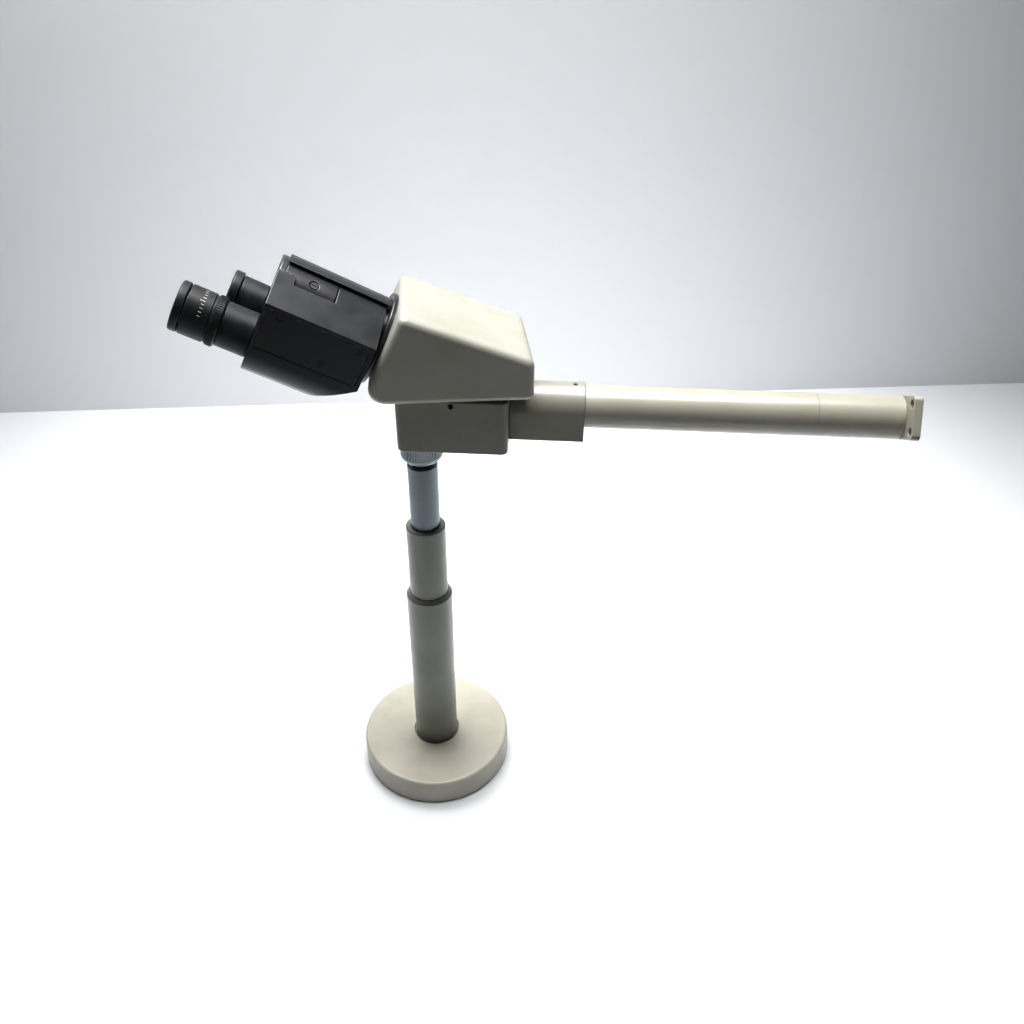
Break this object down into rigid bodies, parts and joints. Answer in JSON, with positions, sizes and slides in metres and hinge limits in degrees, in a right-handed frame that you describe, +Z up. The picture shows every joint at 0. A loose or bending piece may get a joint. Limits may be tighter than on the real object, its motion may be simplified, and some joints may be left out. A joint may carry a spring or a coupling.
{
  "type": "microscope viewing head on a stand",
  "caption": "Side-viewing binocular head for a microscope on a weighted telescopic stand, with a long arm tube that ends in a bolt flange.",
  "frame": {"origin": "centre of the foot underside, on the table and on the column axis", "axes": "+Z up along the column, +X along the arm towards its end flange"},
  "size_m": [0.5171, 0.14, 0.501],
  "materials": {
    "base_paint": "warm grey stove enamel, satin",
    "column_paint": "grey enamel, satin",
    "head_paint": "cream enamel, fine texture, satin",
    "block_paint": "grey beige enamel, satin",
    "arm_paint": "beige enamel, satin",
    "black_paint": "black crackle-free enamel, semi-gloss",
    "black_anodised": "black anodised, satin",
    "bare_steel": "turned steel",
    "inner_steel": "satin plated steel",
    "black_steel": "blackened steel",
    "collar_chrome": "bright chrome",
    "nylon": "natural nylon",
    "rubber": "black rubber",
    "brass": "turned brass",
    "mirror": "first-surface mirror",
    "glass": "coated optical glass"
  },
  "bodies": {
    "stand": {"base_disc": "base_paint", "base_pad": "rubber", "base_bolt": "bare_steel", "column_plug": "bare_steel", "outer_column": "column_paint", "outer_bush": "nylon"},
    "middle_stage": {"middle_column": "column_paint", "middle_tail_bush": "nylon", "middle_bush": "nylon"},
    "inner_stage": {"inner_column": "inner_steel", "inner_tail_bush": "nylon", "swivel_stud": "bare_steel", "stud_clip": "bare_steel"},
    "collar": {"lock_collar": "collar_chrome"},
    "bridge": {"block_housing": "block_paint", "swivel_plate": "bare_steel", "plate_screws": "bare_steel", "head_lock_screw": "black_steel", "mirror_mount": "black_steel", "fold_mirror": "mirror", "arm_sleeve": "block_paint", "sleeve_screws": "bare_steel", "arm_lock_screw": "black_steel", "arm_tube": "arm_paint", "relay_cells": "black_anodised", "relay_lenses": "glass", "coupling_sleeve": "brass"},
    "arm_end": {"end_tube": "arm_paint", "end_flange": "arm_paint", "end_lens": "glass"},
    "head": {"head_swivel": "bare_steel", "head_housing": "head_paint", "head_cover": "block_paint", "head_screws": "bare_steel", "head_prism": "glass", "mount_ring": "black_paint", "hinge_shaft": "bare_steel", "splitter_prism": "glass", "hinge_cap": "black_paint", "hinge_strip": "black_paint"},
    "right_half": {"right_housing": "black_paint", "right_side_cover": "black_paint", "right_cover_screws": "black_steel", "right_prism": "glass", "right_tube": "black_anodised"},
    "focus": {"focus_ring": "black_anodised"},
    "focus_carrier": {"focus_sleeve": "bare_steel"},
    "right_eye": {"right_eyepiece": "black_anodised", "right_eye_lens": "glass"},
    "left_half": {"left_housing": "black_paint", "left_side_cover": "black_paint", "left_cover_screws": "black_steel", "left_prism": "glass", "left_tube": "black_anodised", "hinge_screw": "black_steel"},
    "left_eye": {"left_eyepiece": "black_anodised", "left_eye_lens": "glass"}
  },
  "joints": [
    {"name": "middle_slide", "type": "slide", "parent": "stand", "child": "middle_stage", "axis": [0, 0, 1], "range_m": [-0.055, 0.03]},
    {"name": "inner_slide", "type": "slide", "parent": "middle_stage", "child": "inner_stage", "axis": [0, 0, 1], "range_m": [-0.045, 0.025]},
    {"name": "collar_turn", "type": "hinge", "parent": "inner_stage", "child": "collar", "pos_m": [0, 0, 0.337], "axis": [0, 0, 1], "range_deg": [-30, 330]},
    {"name": "bridge_turn", "type": "hinge", "parent": "inner_stage", "child": "bridge", "pos_m": [0, 0, 0.3635], "axis": [0, 0, 1], "continuous": true},
    {"name": "end_turn", "type": "hinge", "parent": "bridge", "child": "arm_end", "pos_m": [0.294, 0, 0.3881], "axis": [1, 0, 0], "continuous": true},
    {"name": "head_turn", "type": "hinge", "parent": "bridge", "child": "head", "pos_m": [0.0285, 0, 0.4055], "axis": [0, 0, 1], "continuous": true},
    {"name": "right_fold", "type": "hinge", "parent": "head", "child": "right_half", "pos_m": [-0.05979, -0.01351, 0.45841], "axis": [-0.8792, -0.1345, 0.4571], "range_deg": [-3, 22]},
    {"name": "left_fold", "type": "hinge", "parent": "head", "child": "left_half", "pos_m": [-0.05979, -0.01351, 0.45841], "axis": [-0.8792, -0.1345, 0.4571], "range_deg": [-22, 3]},
    {"name": "focus_turn", "type": "hinge", "parent": "right_half", "child": "focus", "pos_m": [-0.12055, -0.04927, 0.46558], "axis": [-0.8792, -0.1345, 0.4571], "range_deg": [-15.2, 225.2]},
    {"name": "focus_travel", "type": "slide", "parent": "right_half", "child": "focus_carrier", "axis": [-0.8792, -0.1345, 0.4571], "range_m": [-0.00025, 0.00375]},
    {"name": "right_eyepiece_lift", "type": "slide", "parent": "focus_carrier", "child": "right_eye", "axis": [-0.8792, -0.1345, 0.4571], "range_m": [0, 0.026]},
    {"name": "left_eyepiece_lift", "type": "slide", "parent": "left_half", "child": "left_eye", "axis": [-0.8792, -0.1345, 0.4571], "range_m": [0, 0.026]}
  ],
  "couplings": [
    {"joint": "left_fold", "follows": "right_fold", "ratio": -1},
    {"joint": "focus_turn", "follows": "focus_travel", "rad_per_m": 1047.2}
  ]
}
